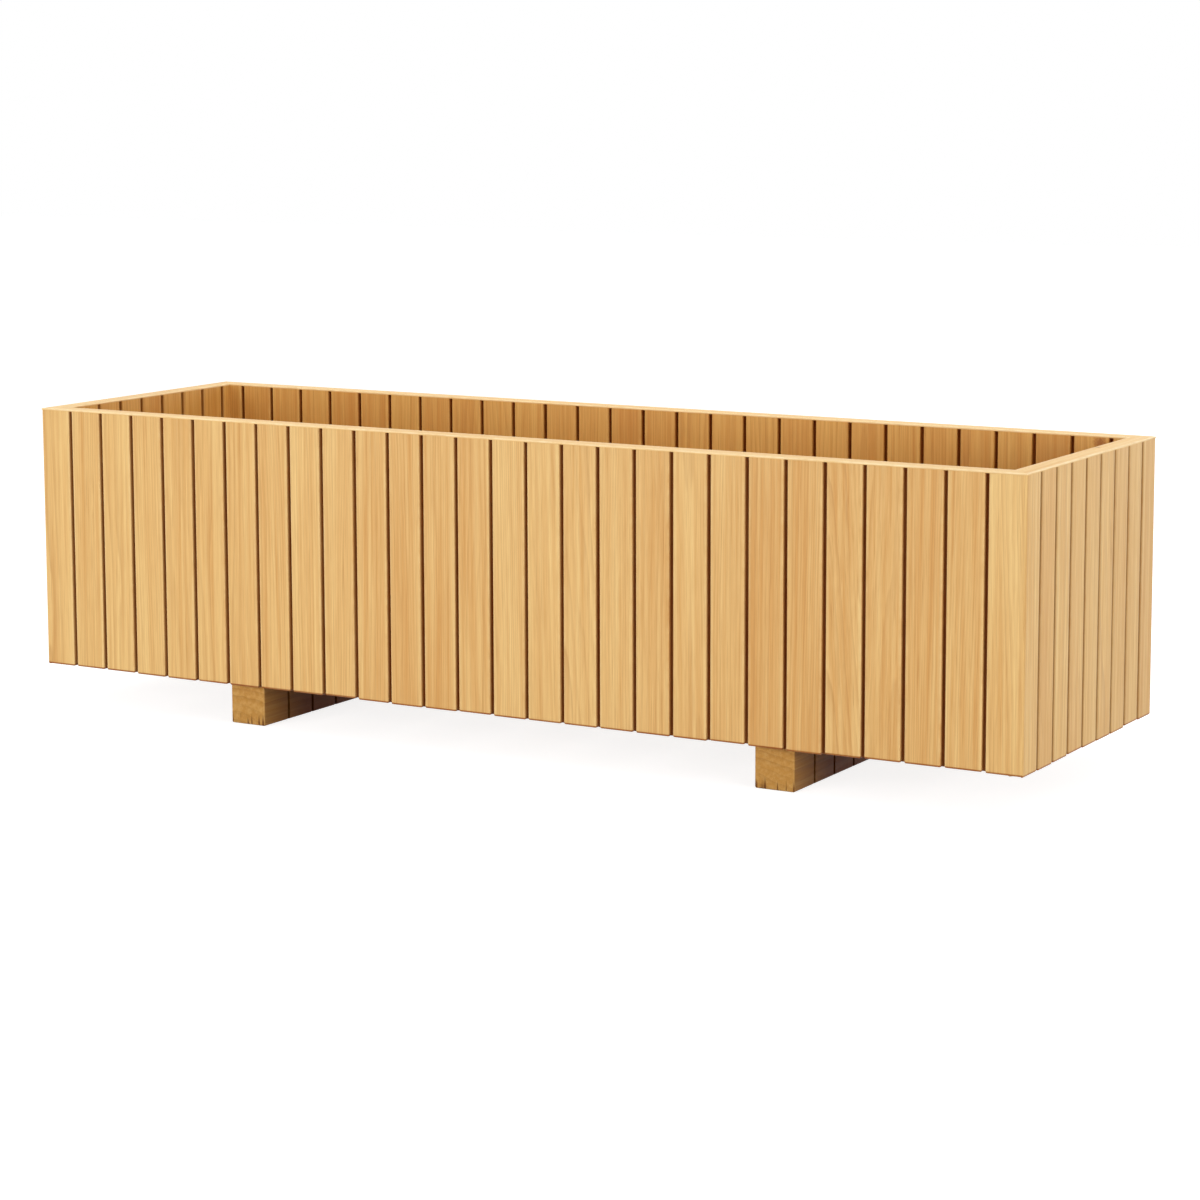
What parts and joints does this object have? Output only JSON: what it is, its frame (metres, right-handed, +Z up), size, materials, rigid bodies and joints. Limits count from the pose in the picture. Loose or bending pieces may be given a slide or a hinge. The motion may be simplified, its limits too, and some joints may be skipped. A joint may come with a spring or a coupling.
{
  "type": "slatted planter box",
  "caption": "Long open wooden planter trough with walls of upright slats, mitred corners, a thin rim strip, a drained board floor and square cross bearers as feet.",
  "frame": {"origin": "on the ground under the middle of the box", "axes": "+X along the box to the right as seen from the front, +Y to the back, +Z up"},
  "size_m": [1.2, 0.347, 0.34],
  "materials": {
    "slat_wood": "oiled, satin",
    "rim_wood": "oiled, satin",
    "frame_wood": "planed, matte",
    "bearer_wood": "planed, matte",
    "joint_wood": "planed, matte",
    "screws": "zinc plated"
  },
  "bodies": {
    "root": {"back_left_post": "frame_wood", "back_left_spline": "joint_wood", "back_lower_rail": "frame_wood", "back_middle_rail": "frame_wood", "back_rail_dowels": "joint_wood", "back_right_post": "frame_wood", "back_right_spline": "joint_wood", "back_rim_cap": "rim_wood", "back_slat_at_back_left": "slat_wood", "back_slat_at_back_right": "slat_wood", "back_slat_screws": "screws", "back_slats": "slat_wood", "floor_board_01": "frame_wood", "floor_board_02": "frame_wood", "floor_board_03": "frame_wood", "floor_board_04": "frame_wood", "floor_board_05": "frame_wood", "floor_board_06": "frame_wood", "floor_board_07": "frame_wood", "floor_board_08": "frame_wood", "floor_board_09": "frame_wood", "floor_board_10": "frame_wood", "floor_board_11": "frame_wood", "floor_screws": "screws", "foot_screws": "screws", "front_left_post": "frame_wood", "front_left_spline": "joint_wood", "front_lower_rail": "frame_wood", "front_middle_rail": "frame_wood", "front_rail_dowels": "joint_wood", "front_right_post": "frame_wood", "front_right_spline": "joint_wood", "front_rim_cap": "rim_wood", "front_slat_at_front_left": "slat_wood", "front_slat_at_front_right": "slat_wood", "front_slat_screws": "screws", "front_slats": "slat_wood", "left_end_lower_rail": "frame_wood", "left_end_middle_rail": "frame_wood", "left_end_rail_dowels": "joint_wood", "left_end_rim_cap": "rim_wood", "left_end_slat_at_back_left": "slat_wood", "left_end_slat_at_front_left": "slat_wood", "left_end_slat_screws": "screws", "left_end_slats": "slat_wood", "left_foot": "bearer_wood", "right_end_lower_rail": "frame_wood", "right_end_middle_rail": "frame_wood", "right_end_rail_dowels": "joint_wood", "right_end_rim_cap": "rim_wood", "right_end_slat_at_back_right": "slat_wood", "right_end_slat_at_front_right": "slat_wood", "right_end_slat_screws": "screws", "right_end_slats": "slat_wood", "right_foot": "bearer_wood"}
  },
  "joints": []
}
